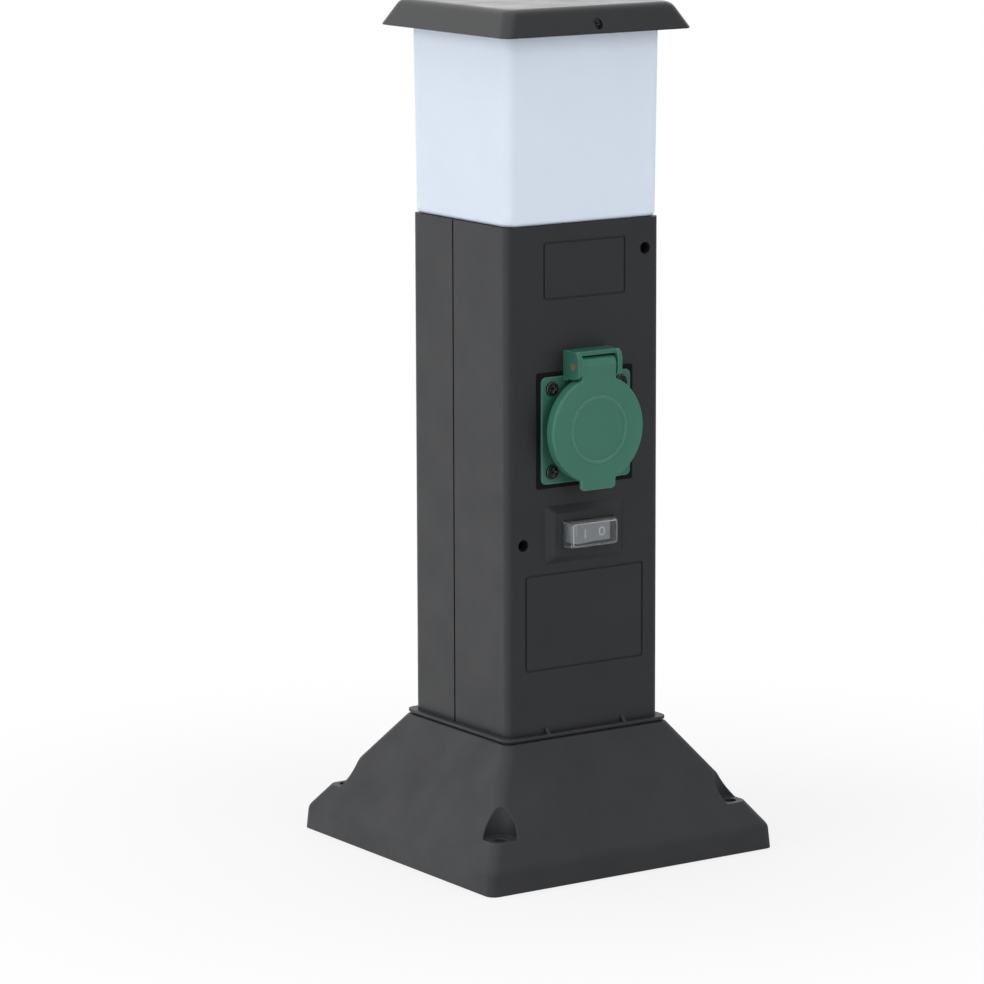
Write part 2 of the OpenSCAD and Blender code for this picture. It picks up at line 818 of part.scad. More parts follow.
module rear_shell() {
    boss_end = shell_tube_end;
    color(anthracite) difference() {
        union() {
            shell_walls(false);
            for (sx = [-1, 1]) base_boss(sx, 1);
            tray_ledge(1);
            seam_lap();
            at_shell_screws(boss_end) {
                cylinder(d = screw_boss_d, h = wall_y + shell_wall / 2 - boss_end);
                translate([0, -boss_web_t / 2, seam_y - boss_end])
                    cube([shell_screw_inset - shell_wall / 2, boss_web_t,
                        wall_y + shell_wall / 2 - seam_y]);
            }
            translate([0, wall_y + shell_wall / 2, clamp_z]) rotate([90, 0, 0]) for (x = [-1, 1])
                translate([x * clamp_x, 0, 0])
                    cylinder(d = clamp_boss_d, h = clamp_boss_l + shell_wall / 2);
            translate([-terminal_w / 2, wall_y - terminal_pad, terminal_z - terminal_h / 2])
                cube([terminal_w, terminal_pad + shell_wall / 2, terminal_h]);
        }
        seam_groove(false);
        base_boss_holes(1);
        at_shell_screws(boss_end - cut)
            cylinder(d = shell_screw[2] + 2 * screw_fit,
                h = shell_screw[3] - (boss_end - shell_screw_seat) + 2 * cut);
        translate([0, wall_y - clamp_boss_l - clamp_t, clamp_z]) rotate([90, 0, 0])
            for (x = [-1, 1]) translate([x * clamp_x, 0, 0]) screw_hole(small_screw);
        at_block_screws() screw_hole(block_screw);
    }
}

// The lap behind the seam, inside the front shell's side walls
module seam_lap() {
    x = wall_x - slide_fit - lap_t;
    z = post_z + tongue_h + slide_fit;
    h = tray_bottom - slide_fit - z;
    for (s = [-1, 1]) {
        translate([s * (x + lap_t / 2) - lap_t / 2, seam_y - lap_l, z]) cube([lap_t, 2 * lap_l, h]);
        translate([s > 0 ? x : -wall_x - shell_wall / 2, seam_y + cut, z])
            cube([lap_t + slide_fit + shell_wall / 2, lap_l - cut, h]);
    }
}

module shell_screws() {
    color(steel) at_shell_screws(shell_screw_seat) rotate([180, 0, 0]) screw(shell_screw);
}

module cable_clamp() {
    y0 = wall_y - clamp_boss_l - clamp_t;
    color(black) difference() {
        translate([-clamp_w / 2, y0, clamp_z - clamp_h / 2]) cube([clamp_w, clamp_t, clamp_h]);
        translate([0, wall_y - clamp_boss_l + 1, clamp_z - clamp_h / 2 - cut])
            cylinder(d = clamp_cable_d, h = clamp_h + 2 * cut);
        translate([0, y0, clamp_z]) rotate([90, 0, 0])
            for (x = [-1, 1]) translate([x * clamp_x, 0, 0]) screw_hole(small_screw);
    }
}

module clamp_screws() {
    color(steel) translate([0, wall_y - clamp_boss_l - clamp_t, clamp_z]) rotate([90, 0, 0])
        for (x = [-1, 1]) translate([x * clamp_x, 0, 0]) screw(small_screw);
}

// Places something on the block's face, pointing out of it
module at_poles() {
    translate([0, terminal_face, terminal_z]) rotate([90, 0, 0])
        for (i = [-1:1], s = [-1, 1]) translate([i * pole_pitch, s * pole_row, 0]) children();
}

module at_block_screws() {
    translate([0, terminal_face, terminal_z]) rotate([90, 0, 0])
        for (x = [-1, 1]) translate([x * pole_pitch / 2, 0, 0]) children();
}

module terminal_block() {
    color(white) difference() {
        union() {
            translate([-terminal_w / 2, terminal_face, terminal_z - terminal_h / 2])
                cube([terminal_w, terminal_d, terminal_h]);
            at_poles() translate([0, 0, -0.5]) cylinder(d = pole_collar_d, h = pole_collar_h + 0.5);
        }
        translate([0, terminal_face + pole_inset, terminal_z - terminal_h / 2 - cut])
            for (i = [-1:1]) translate([i * pole_pitch, 0, 0])
                cylinder(d = pole_d, h = terminal_h + 2 * cut);
        at_poles() translate([0, 0, -pole_inset])
            cylinder(d = pole_screw[0] + 2 * screw_fit, h = pole_inset + pole_collar_h + cut);
        at_block_screws() screw_hole(block_screw);
    }
}

module terminal_screws() {
    color(steel) {
        at_poles() translate([0, 0, pole_screw_seat]) screw(pole_screw);
        at_block_screws() screw(block_screw);
    }
}

// Socket

module socket_gasket() {
    w = flange_w + 2 * gasket_margin;
    color(black) on_front(socket_z) linear_extrude(gasket_t) difference() {
        rounded_rect(w, w, gasket_r);
        circle(d = barrel_d + 2 * slide_fit);
        at_corners(screw_at, screw_at) circle(d = socket_screw[2] + 2 * slide_fit);
    }
}

module flange_plate() {
    half = flange_w / 2;
    edge = bend([flange_top - flange_edge, half], [flange_top, half],
        [flange_top, half - flange_edge], 3);
    loft(concat(
        [[gasket_t, half, half, flange_r]],
        [for (p = edge) [p[0], p[1], p[1], flange_r]]
    ));
}

// The block that carries the hinge pin, over the flange's top edge
module hinge_block() {
    translate([-hinge_w / 2, hinge_foot_y, gasket_t])
        cube([hinge_w, hinge_roof_top - hinge_foot_y, hinge_plate_front - gasket_t]);
    translate([-hinge_w / 2, gasket_top, hinge_back])
        cube([hinge_w, hinge_roof_top - gasket_top, hinge_plate_front - hinge_back]);
    translate([-hinge_w / 2, hinge_roof_y, gasket_t])
        cube([hinge_w, hinge_roof_t, hinge_roof_front - gasket_t]);
    for (s = [-1, 1]) translate([s * (hinge_w - cheek_t) / 2, 0, 0])
        across(cheek_t) cheek_outline();
}

// The side view of a cheek, drawn as [outwards, up] from the socket's middle
module cheek_outline() {
    front = pin_proud + cheek_front;
    h = hinge_roof_top - cheek_foot_y;
    translate([gasket_t, cheek_foot_y]) square([front - cheek_r - gasket_t, h]);
    translate([gasket_t, cheek_foot_y + cheek_r]) square([front - gasket_t, h - 2 * cheek_r]);
    for (y = [cheek_foot_y + cheek_r, hinge_roof_top - cheek_r])
        translate([front - cheek_r, y]) circle(r = cheek_r);
}

// Places something on the undersides of the flange screws' heads, pointing outwards
module at_flange_screws() {
    translate([0, 0, flange_top - head_sink]) at_corners(screw_at, screw_at) children();
}

module socket_flange() {
    color(dark_green) on_front(socket_z) difference() {
        union() {
            flange_plate();
            translate([0, 0, gasket_t])
                cylinder(d = well_d + 2 * collar_wall, h = flange_t + collar_h);
            translate([0, 0, barrel_end]) cylinder(d = barrel_d, h = gasket_t + 1 - barrel_end);
            hinge_block();
        }
        translate([0, 0, barrel_end - cut]) cylinder(d = well_d, h = well_depth + plug_face_t + 2 * cut);
        at_flange_screws() screw_hole(socket_screw, socket_screw[1] + cut);
        for (s = [-1, 1])
            translate([s * well_d / 2 - 2 * barrel_wall, -snap_w / 2, barrel_end + snap_inset])
            cube([4 * barrel_wall, snap_w, snap_l]);
        translate([-hinge_w / 2 - cut, hinge_rise, pin_proud]) rotate([0, 90, 0])
            cylinder(d = hinge_pin_d + 2 * screw_fit, h = hinge_w + 2 * cut);
    }
}

module socket_core() {
    plug_d = well_d - 2 * slide_fit;
    color(green) on_front(socket_z) difference() {
        union() {
            translate([0, 0, barrel_end]) cylinder(d = plug_d, h = plug_face_t);
            translate([0, 0, core_collar_end]) cylinder(d = barrel_d, h = core_collar_t);
            for (s = [-1, 1]) {
                translate([s * pin_pitch / 2, 0, tower_end]) cylinder(d = tower_d, h = tower_l + 1);
                translate([s * (plug_d / 2 + snap_rise / 2 - 1) - 1, -snap_w / 2 + slide_fit,
                        barrel_end + snap_inset + slide_fit])
                    cube([2, snap_w - 2 * slide_fit, snap_l - 2 * slide_fit]);
            }
        }
        for (s = [-1, 1]) {
            translate([s * pin_pitch / 2, 0, tower_end - cut]) {
                cylinder(d = pin_hole_d, h = tower_l + core_collar_t + plug_face_t + 2 * cut);
                cylinder(d = contact_bore_d, h = tower_l + core_collar_t + plug_face_t - 2 + cut);
            }
            translate([0, s * clip_y, core_collar_end - cut]) linear_extrude(core_collar_t + 2 * cut)
                square([clip_w + 2 * slide_fit, clip_t + 2 * slide_fit], center = true);
            translate([0, s * (clip_y - clip_t / 2 - slide_fit + clip_room / 2), barrel_end])
                linear_extrude(plug_face_t + cut)
                square([clip_w + 2 * slide_fit, clip_room], center = true);
        }
    }
}

// A slotted sleeve for one plug pin, with its terminal behind
module pin_contact() {
    sleeve_l = -tower_end + well_floor - 3;
    difference() {
        union() {
            translate([0, 0, tower_end]) cylinder(d = contact_d, h = sleeve_l);
            translate([-lug_w / 2, -lug_h / 2, tower_end - lug_l]) cube([lug_w, lug_h, lug_l]);
        }
        translate([0, 0, tower_end + 2]) cylinder(d = contact_d - 2, h = sleeve_l);
        translate([-contact_slot / 2, -contact_d, tower_end + 4])
            cube([contact_slot, 2 * contact_d, sleeve_l]);
        translate([0, 0, tower_end - lug_l - cut]) cylinder(d = lug_wire_d, h = lug_l);
        translate([0, 0, tower_end - lug_l / 2]) rotate([-90, 0, 0])
            cylinder(d = contact_screw[2] + 2 * screw_fit, h = lug_h / 2 + cut);
    }
}

module line_contact() {
    color(brass) on_front(socket_z) translate([-pin_pitch / 2, 0, 0]) pin_contact();
}

module neutral_contact() {
    color(brass) on_front(socket_z) translate([pin_pitch / 2, 0, 0]) pin_contact();
}

// The earth strip: two spring arms joined behind the core
module earth_clips() {
    strip = core_collar_end - clip_t;
    bend_at = clip_front - clip_bend;
    color(brass) on_front(socket_z) {
        across(clip_w) {
            translate([strip, -clip_y]) square([clip_t, 2 * clip_y]);
            for (s = [0, 1]) mirror([0, s]) polygon([
                [strip, clip_y - clip_t / 2], [bend_at - clip_bow, clip_y - clip_t / 2],
                [bend_at, clip_y - clip_t / 2 - clip_bow / 2], [clip_front, clip_y - clip_t / 2],
                [clip_front, clip_y + clip_t / 2], [bend_at, clip_y + clip_t / 2 - clip_bow / 2],
                [bend_at - clip_bow, clip_y + clip_t / 2], [strip, clip_y + clip_t / 2]
            ]);
        }
        difference() {
            translate([-earth_lug[0] / 2, -earth_lug[1] / 2, strip - earth_lug[2]])
                cube([earth_lug[0], earth_lug[1], earth_lug[2] + clip_t / 2]);
            translate([0, 0, strip - earth_lug[2] / 2]) rotate([-90, 0, 0])
                cylinder(d = contact_screw[2] + 2 * screw_fit, h = earth_lug[1] / 2 + cut);
        }
    }
}

module contact_screws() {
    color(steel) on_front(socket_z) {
        for (s = [-1, 1]) translate([s * pin_pitch / 2, lug_h / 2, tower_end - lug_l / 2])
            rotate([-90, 0, 0]) screw(contact_screw);
        translate([0, earth_lug[1] / 2, core_collar_end - clip_t - earth_lug[2] / 2])
            rotate([-90, 0, 0]) screw(contact_screw);
    }
}

module socket_screws() {
    color(black) on_front(socket_z) at_flange_screws() screw(socket_screw);
}

// Lid

module lid_disc() {
    rotate_extrude() {
        square([lid_r - lid_edge, lid_t]);
        square([lid_r, lid_t - lid_edge]);
        translate([lid_r - lid_edge, lid_t - lid_edge]) circle(r = lid_edge);
    }
}

// The side view of the neck, drawn as [outwards, up] from the socket's middle
module neck_profile() {
    polygon([
        [neck_back, lid_r - 5], [lid_front, lid_r - 5], [lid_front + 0.2, lid_r - 1],
        [pin_proud + hinge_barrel_d / 2 - 0.3, hinge_rise - 2.4],
        [pin_proud + hinge_barrel_d / 2, hinge_rise], [pin_proud, hinge_rise],
        [neck_back, hinge_rise - 2]
    ]);
}

// A thin tab at the lid's front, tapering back under the rim
module lid_tab() {
    r = 2;
    half = lid_tab_w / 2;
    long = (lid_r + lid_tab_l) / 2;
    edge = bend([lid_t - tab_edge, 0], [lid_t, 0], [lid_t, tab_edge], 4);
    translate([0, -long, lid_back]) loft(concat(
        [[lid_t - tab_t, half - tab_edge, long - tab_edge, r]],
        [[lid_t - tab_t + tab_edge, half, long, r]],
        [for (p = edge) [p[0], half - p[1], long - p[1], r]]
    ));
}

module socket_lid() {
    color(green) on_front(socket_z) difference() {
        union() {
            translate([0, 0, lid_back]) lid_disc();
            lid_tab();
            translate([0, 0, lid_front - 0.1]) linear_extrude(0.6) difference() {
                circle(d = lid_ring_d + 1);
                circle(d = lid_ring_d - 1);
            }
            across(lid_neck_w) neck_profile();
            translate([-lid_neck_w / 2, hinge_rise, pin_proud]) rotate([0, 90, 0])
                cylinder(d = hinge_barrel_d, h = lid_neck_w);
        }
        translate([0, 0, lid_back - cut]) cylinder(r = lid_r - lid_rim_w, h = seal_t + cut);
        translate([-lid_neck_w / 2 - cut, hinge_rise, pin_proud]) rotate([0, 90, 0])
            cylinder(d = hinge_pin_d + 2 * pin_fit, h = lid_neck_w + 2 * cut);
        translate([-spring_room_w / 2, hinge_rise, pin_proud]) rotate([0, 90, 0])
            cylinder(r = spring_room_r, h = spring_room_w);
        translate([-spring_room_w / 2, hinge_rise - spring_room_r, 0])
            cube([spring_room_w, spring_room_r + hinge_barrel_d, pin_proud]);
        translate([-spring_room_w / 2, hinge_rise - hinge_barrel_d / 2 - cut, 0])
            cube([spring_room_w, 2 * hinge_barrel_d, neck_back]);
    }
}

module lid_seal() {
    color(black) on_front(socket_z) translate([0, 0, lid_back])
        tube(2 * (lid_r - lid_rim_w) - 2 * slide_fit, seal_inner_d, seal_t);
}

module hinge_pin() {
    color(copper) on_front(socket_z) translate([-hinge_w / 2, hinge_rise, pin_proud]) rotate([0, 90, 0])
        cylinder(d = hinge_pin_d, h = hinge_w);
}

// A closed tube of round section along a path of points
module wire(path, d, sides) {
    n = len(path);
    rings = [for (i = [0:n - 1])
        let (
            ahead = path[min(i + 1, n - 1)] - path[max(i - 1, 0)],
            t = ahead / norm(ahead),
            u0 = cross(t, [1, 0, 0.001]),
            u = u0 / norm(u0),
            v = cross(t, u)
        )
        for (k = [0:sides - 1])
            path[i] + d / 2 * (cos(360 * k / sides) * u + sin(360 * k / sides) * v)];
    polyhedron(
        points = rings,
        faces = concat(
            [[for (k = [0:sides - 1]) k]],
            [[for (k = [sides - 1:-1:0]) (n - 1) * sides + k]],
            [for (i = [0:n - 2], k = [0:sides - 1])
                let (j = (k + 1) % sides)
                [i * sides + k, (i + 1) * sides + k, (i + 1) * sides + j, i * sides + j]]
        ),
        convexity = 10
    );
}

spring_path = [for (i = [0:spring_turns * spring_steps])
    let (a = 360 * i / spring_steps, r = spring_coil_d / 2)
    [(spring_wire + spring_gap) * (i / spring_steps - spring_turns / 2), -r * cos(a), -r * sin(a)]];

// The least gap between points of the coil that are half a turn or more apart
spring_least_gap = min([for (i = [0:spring_steps], k = [spring_steps / 2:3 * spring_steps / 2])
    norm(spring_path[i + k] - spring_path[i]) - spring_wire]);

module lid_spring() {
    echo(spring_least_gap = spring_least_gap);
    color(steel) on_front(socket_z) translate([0, hinge_rise, pin_proud]) wire(spring_path, spring_wire, 6);
}

// Switch

module switch_boot() {
    color(clear) on_front(switch_z) difference() {
        union() {
            translate([0, 0, bezel_top]) linear_extrude(boot_flange_t)
                rounded_rect(boot_flange_w, boot_flange_h, 1);
            loft([
                [bezel_top, boot_w / 2, boot_h / 2, 1.2],
                [frame_t, boot_w / 2, boot_h / 2, 1.2],
                [frame_t + boot_rise - 0.8, boot_front_w / 2 + 0.4, boot_front_h / 2 + 0.2, 1.4],
                [frame_t + boot_rise, boot_front_w / 2 - 0.4, boot_front_h / 2 - 0.4, 1.2]
            ], 4);
        }
        loft([
            [bezel_top - cut, boot_w / 2 - boot_wall, boot_h / 2 - boot_wall, 0.8],
            [frame_t, boot_w / 2 - boot_wall, boot_h / 2 - boot_wall, 0.8],
            [frame_t + boot_rise - boot_wall, boot_front_w / 2 - boot_wall + 0.2,
                boot_front_h / 2 - boot_wall, 0.8]
        ], 4);
    }
}

module switch_body() {
    color(black) on_front(switch_z) difference() {
        union() {
            translate([0, 0, bezel_back]) linear_extrude(bezel_t)
                rounded_rect(bezel_w, bezel_h, 1);
            translate([0, 0, body_back]) linear_extrude(bezel_back - body_back + bezel_t / 2)
                square([body_w, body_h], center = true);
        }
        translate([0, 0, rocker_room]) linear_extrude(bezel_top - rocker_room + cut)
            square([rocker_l + 2 * rocker_end_gap, rocker_w + 2 * rocker_gap], center = true);
        translate([0, body_h / 2 + cut, rocker_pivot]) rotate([90, 0, 0])
            cylinder(d = trunnion_d + 2 * pin_fit, h = body_h + 2 * cut);
    }
}

// The rocker's side view in [along, outwards] from its pivot
module rocker_profile() {
    half = rocker_l / 2;
    edge = 0.6;
    dish = 0.7;
    heel = 1;
    toe = 3.5;
    polygon([
        [-half, -heel], [-half, rocker_out - edge], [-half + edge, rocker_out], [0, rocker_out - dish],
        [half - edge, rocker_out], [half, rocker_out - edge], [half, -heel],
        [toe, -rocker_in], [-toe, -rocker_in]
    ]);
}

module switch_rocker() {
    color(grey) on_front(switch_z) translate([0, 0, rocker_pivot]) rotate([0, rocker_swing / 2, 0]) {
        translate([0, rocker_w / 2, 0]) rotate([90, 0, 0]) linear_extrude(rocker_w) rocker_profile();
        translate([0, rocker_w / 2 + trunnion_l, 0]) rotate([90, 0, 0])
            cylinder(d = trunnion_d, h = rocker_w + 2 * trunnion_l);
    }
}

module switch_blades() {
    color(brass) on_front(switch_z) for (x = [-blade_x, 0, blade_x])
        translate([x - blade_t / 2, -blade_w / 2, body_back - blade_l]) cube([blade_t, blade_w, blade_l]);
}

module switch_bracket() {
    hole_w = body_w + 2 * slide_fit;
    hole_h = body_h + 2 * slide_fit;
    color(black) on_front(switch_z) difference() {
        union() {
            translate([0, 0, bracket_back]) linear_extrude(bracket_t)
                square([bracket_w, bracket_h], center = true);
            translate([0, 0, bracket_back]) linear_extrude(bezel_back - bracket_back)
                square([bezel_w, bezel_h], center = true);
        }
        translate([0, 0, bracket_back - cut]) linear_extrude(bezel_back - bracket_back + 2 * cut)
            square([hole_w, hole_h], center = true);
        for (x = [-1, 1]) translate([x * bracket_screw_x, 0, bracket_back - cut])
            cylinder(d = bracket_screw[2] + 2 * screw_fit, h = bracket_t + 2 * cut);
    }
}

module bracket_screws() {
    color(steel) on_front(switch_z) for (x = [-1, 1])
        translate([x * bracket_screw_x, 0, bracket_back]) rotate([180, 0, 0]) screw(bracket_screw);
}

// Lamp

module lamp_tray() {
    color(white) difference() {
        union() {
            translate([0, 0, tray_bottom]) linear_extrude(tray_t)
                rounded_rect(2 * tray_half_x, 2 * tray_half_y, post_r - shell_wall);
            translate([0, 0, tray_top - 0.5]) linear_extrude(platform_top - tray_top + 0.5)
                square([2 * platform_x, 2 * platform_y], center = true);
            translate([0, 0, tray_top]) at_corners(diffuser_screw_x, diffuser_screw_y)
                cylinder(d = screw_boss_d, h = post_top - tray_top);
            translate([0, 0, well_cup_floor - well_cup_wall])
                cylinder(d = well_cup_d + 2 * well_cup_wall, h = tray_top - well_cup_floor + well_cup_wall);
        }
        translate([0, 0, well_cup_floor]) cylinder(d = well_cup_d, h = post_top);
        translate([0, 0, well_cup_floor - well_cup_wall - cut])
            cylinder(d = holder_cable_d, h = well_cup_wall + 2 * cut);
        translate([0, 0, post_top + diffuser_wall])
            at_corners(diffuser_screw_x, diffuser_screw_y) screw_hole(small_screw);
        translate([0, 0, well_cup_floor + holder_floor]) for (x = [-1, 1])
            translate([x * holder_screw_x, 0, 0]) screw_hole(holder_screw);
    }
}

module lamp_gasket() {
    x = 2 * (platform_x - lamp_gasket_inset);
    y = 2 * (platform_y - lamp_gasket_inset);
    color(black) translate([0, 0, platform_top]) linear_extrude(lamp_gasket_t) difference() {
        square([x, y], center = true);
        square([x - 2 * lamp_gasket_w, y - 2 * lamp_gasket_w], center = true);
    }
}

function diffuser_half(axis, z) =
    (axis == 0 ? post_w : post_d) / 2 - diffuser_setback
    + diffuser_draft * (z - post_top) / (diffuser_top - post_top);

function diffuser_section(z, inset, r) =
    [z, diffuser_half(0, z) - inset, diffuser_half(1, z) - inset, r];

module lamp_diffuser() {
    foot = bend([0, diffuser_foot_r], [0, 0], [diffuser_foot_r, 0], 5);
    floor_z = post_top + diffuser_wall;
    color(opal) difference() {
        loft(concat(
            [for (p = foot) diffuser_section(post_top + p[0], p[1], diffuser_r)],
            [diffuser_section(diffuser_top, 0, diffuser_r)]
        ));
        loft([
            diffuser_section(floor_z, diffuser_wall + 0.6, diffuser_r - diffuser_wall),
            diffuser_section(floor_z + 1, diffuser_wall, diffuser_r - diffuser_wall),
            diffuser_section(diffuser_top + cut, diffuser_wall, diffuser_r - diffuser_wall)
        ]);
        translate([0, 0, post_top - cut]) cylinder(d = well_cup_d, h = diffuser_wall + 2 * cut);
        translate([0, 0, floor_z])
            at_corners(diffuser_screw_x, diffuser_screw_y) screw_hole(small_screw);
        cap_screw_bores();
    }
}

module diffuser_screws() {
    color(steel) translate([0, 0, post_top + diffuser_wall])
        at_corners(diffuser_screw_x, diffuser_screw_y) screw(small_screw);
}

module lamp_holder() {
    color(white) translate([0, 0, well_cup_floor]) difference() {
        cylinder(d = holder_d, h = holder_h);
        translate([0, 0, holder_floor]) cylinder(d = holder_bore_d, h = holder_h);
        translate([0, 0, -cut]) cylinder(d = 3, h = holder_floor + 2 * cut);
        translate([0, 0, holder_floor]) for (x = [-1, 1])
            translate([x * holder_screw_x, 0, 0]) screw_hole(holder_screw);
    }
}

module holder_screws() {
    color(steel) translate([0, 0, well_cup_floor + holder_floor]) for (x = [-1, 1])
        translate([x * holder_screw_x, 0, 0]) screw(holder_screw);
}

module lamp_sleeve() {
    color(brass) translate([0, 0, well_cup_floor + holder_floor + 2])
        tube(holder_bore_d, holder_bore_d - 2 * sleeve_wall, sleeve_h);
}

module lamp_contact() {
    half = leaf_l / 2;
    color(brass) translate([0, leaf_w / 2, well_cup_floor + holder_floor])
        rotate([90, 0, 0]) linear_extrude(leaf_w) polygon([
            [-half, 0], [half, 0], [half, leaf_t], [leaf_fold - half, leaf_t],
            [half - leaf_fold, contact_rise - leaf_t], [half - leaf_fold, contact_rise],
            [-half, 2 * leaf_t]
        ]);
}

module bulb_base() {
    color(zinc) translate([0, 0, bulb_z]) {
        cylinder(d1 = bulb_tip_d, d2 = bulb_base_d, h = bulb_tip_h);
        translate([0, 0, bulb_tip_h]) cylinder(d = bulb_base_d, h = bulb_base_h);
    }
}

module bulb_housing() {
    color(white) translate([0, 0, housing_z]) rotate_extrude() polygon([
        [0, 0], [bulb_neck_d / 2, 0],
        [bulb_neck_d / 2 + housing_foot_flare, housing_foot_h],
        [housing_top_d / 2, housing_h], [0, housing_h]
    ]);
}

module bulb_globe() {
    color(opal) intersection() {
        translate([0, 0, globe_z]) sphere(d = globe_d);
        translate([0, 0, housing_z + housing_h]) cylinder(d = globe_d + cut, h = globe_d);
    }
}

// Cap

function cap_section(z, inset, r) =
    let (half = cap_half - cap_lean * (z - cap_z - cap_lip) / cap_h - inset)
    [z, half, half, r];

module cap_outside() {
    shoulder = total_h - cap_edge;
    start = cap_section(shoulder, 0, cap_r);
    top = cap_section(total_h, 0, cap_r);
    edge = bend([start[0], start[1]], [total_h, top[1]], [total_h, top[1] - cap_edge], 5);
    loft(concat(
        [cap_section(cap_z, cap_lip, cap_r), cap_section(cap_z + cap_lip, 0, cap_r)],
        [for (p = edge) [p[0], p[1], p[1], cap_r]]
    ));
}

module cap_inside() {
    loft([
        cap_section(cap_z - cut, cap_wall, cap_r - cap_wall),
        cap_section(cap_ceiling, cap_wall + 1, cap_r - cap_wall)
    ]);
}

// What stands down from the cap's ceiling: the seat on the diffuser's rim,
// the frame inside it and the tubes of the two screws
module cap_inner_parts() {
    x = diffuser_half(0, diffuser_top);
    y = diffuser_half(1, diffuser_top);
    fx = diffuser_half(0, diffuser_top - cap_frame_h) - diffuser_wall - slide_fit;
    fy = diffuser_half(1, diffuser_top - cap_frame_h) - diffuser_wall - slide_fit;
    r = diffuser_r - diffuser_wall;
    translate([0, 0, diffuser_top]) linear_extrude(cap_ceiling - diffuser_top + cap_wall / 2)
        difference() {
            rounded_rect(2 * x + 2, 2 * y + 2, diffuser_r);
            rounded_rect(2 * fx - 2 * cap_frame_t, 2 * fy - 2 * cap_frame_t, r);
        }
    translate([0, 0, diffuser_top - cap_frame_h]) linear_extrude(cap_frame_h + 1) difference() {
        rounded_rect(2 * fx, 2 * fy, r);
        rounded_rect(2 * fx - 2 * cap_frame_t, 2 * fy - 2 * cap_frame_t, r);
    }
    for (s = [0, 180]) rotate([0, 0, s]) {
        y0 = diffuser_half(1, cap_screw_z) + slide_fit;
        translate([0, -y0, cap_screw_z]) rotate([90, 0, 0]) cylinder(d = cap_boss_d, h = cap_half - y0);
        translate([0, -fy, cap_screw_z]) rotate([-90, 0, 0]) cylinder(d = cap_boss_d, h = cap_tube_l);
    }
}

module cap_screw_bores() {
    for (s = [0, 180]) rotate([0, 0, s]) translate([0, -cap_screw_seat, cap_screw_z])
        rotate([90, 0, 0]) screw_hole(cap_screw);
}

module cap() {
    color(anthracite) difference() {
        union() {
            difference() {
                cap_outside();
                cap_inside();
            }
            intersection() {
                cap_outside();
                cap_inner_parts();
            }
        }
        cap_screw_bores();
        for (s = [0, 180]) rotate([0, 0, s]) translate([0, -cap_screw_seat, cap_screw_z])
            rotate([90, 0, 0]) cylinder(d = cap_screw[0] + 2 * slide_fit, h = cap_screw_sink + cut);
    }
}

module cap_screws() {
    color(steel) for (s = [0, 180]) rotate([0, 0, s]) translate([0, -cap_screw_seat, cap_screw_z])
        rotate([90, 0, 0]) screw(cap_screw);
}

base_plinth();
base_collar();
base_screws();
front_shell();
rear_shell();
shell_screws();
cable_clamp();
clamp_screws();
terminal_block();
terminal_screws();
socket_gasket();
socket_flange();
socket_core();
socket_screws();
line_contact();
neutral_contact();
earth_clips();
contact_screws();
socket_lid();
lid_seal();
hinge_pin();
lid_spring();
switch_boot();
switch_body();
switch_rocker();
switch_blades();
switch_bracket();
bracket_screws();
lamp_tray();
lamp_gasket();
lamp_diffuser();
diffuser_screws();
lamp_holder();
holder_screws();
lamp_sleeve();
lamp_contact();
bulb_base();
bulb_housing();
bulb_globe();
cap();
cap_screws();
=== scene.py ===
import math

import bmesh
import bpy
from mathutils import Matrix, Vector


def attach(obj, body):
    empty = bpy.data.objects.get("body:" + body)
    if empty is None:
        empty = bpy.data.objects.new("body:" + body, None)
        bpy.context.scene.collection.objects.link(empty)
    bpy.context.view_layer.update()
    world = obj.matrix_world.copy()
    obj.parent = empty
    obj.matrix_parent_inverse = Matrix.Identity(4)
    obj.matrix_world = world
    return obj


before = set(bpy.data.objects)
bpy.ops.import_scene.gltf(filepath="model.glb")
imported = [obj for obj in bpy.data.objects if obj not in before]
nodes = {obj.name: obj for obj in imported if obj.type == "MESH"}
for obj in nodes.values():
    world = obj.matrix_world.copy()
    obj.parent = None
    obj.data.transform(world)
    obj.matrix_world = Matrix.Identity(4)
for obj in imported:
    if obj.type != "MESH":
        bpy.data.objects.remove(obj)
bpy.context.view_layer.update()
print("frame loaded:", len(nodes), "nodes")

white = (1.0, 1.0, 1.0, 1.0)


def seen(r, g, b):
    # a colour as it looks on screen, 0 to 255, turned into shader values
    def one(c):
        c = c / 255
        return c / 12.92 if c <= 0.04045 else ((c + 0.055) / 1.055) ** 2.4
    return (one(r), one(g), one(b), 1.0)


def shade(colour, factor):
    return tuple(c * factor for c in colour[:3]) + (1.0,)


def addObject(name, data):
    thing = bpy.data.objects.new(name, data)
    bpy.context.scene.collection.objects.link(thing)
    return thing


def addNode(tree, kind, **sockets):
    node = tree.nodes.new(kind)
    for key, value in sockets.items():
        node.inputs[key].default_value = value
    return node


def feed(tree, value, socket):
    # another node's output is linked, a plain value is set
    if isinstance(value, bpy.types.NodeSocket):
        tree.links.new(value, socket)
    else:
        socket.default_value = value


def reckon(tree, kind, operation, *values):
    # a Math or VectorMath node with its inputs fed
    node = tree.nodes.new("ShaderNode" + kind)
    node.operation = operation
    for socket, value in zip(node.inputs, values):
        feed(tree, value, socket)
    return node


def spanTo(tree, source, low, high, fromLow=0.3, fromHigh=0.7, smooth=False):
    # the source's span turned into low to high; most of a noise lies between 0.3 and 0.7
    span = tree.nodes.new("ShaderNodeMapRange")
    if smooth:
        span.interpolation_type = "SMOOTHSTEP"
    for key, value in (("From Min", fromLow), ("From Max", fromHigh),
                       ("To Min", low), ("To Max", high), ("Value", source)):
        feed(tree, value, span.inputs[key])
    return span.outputs["Result"]


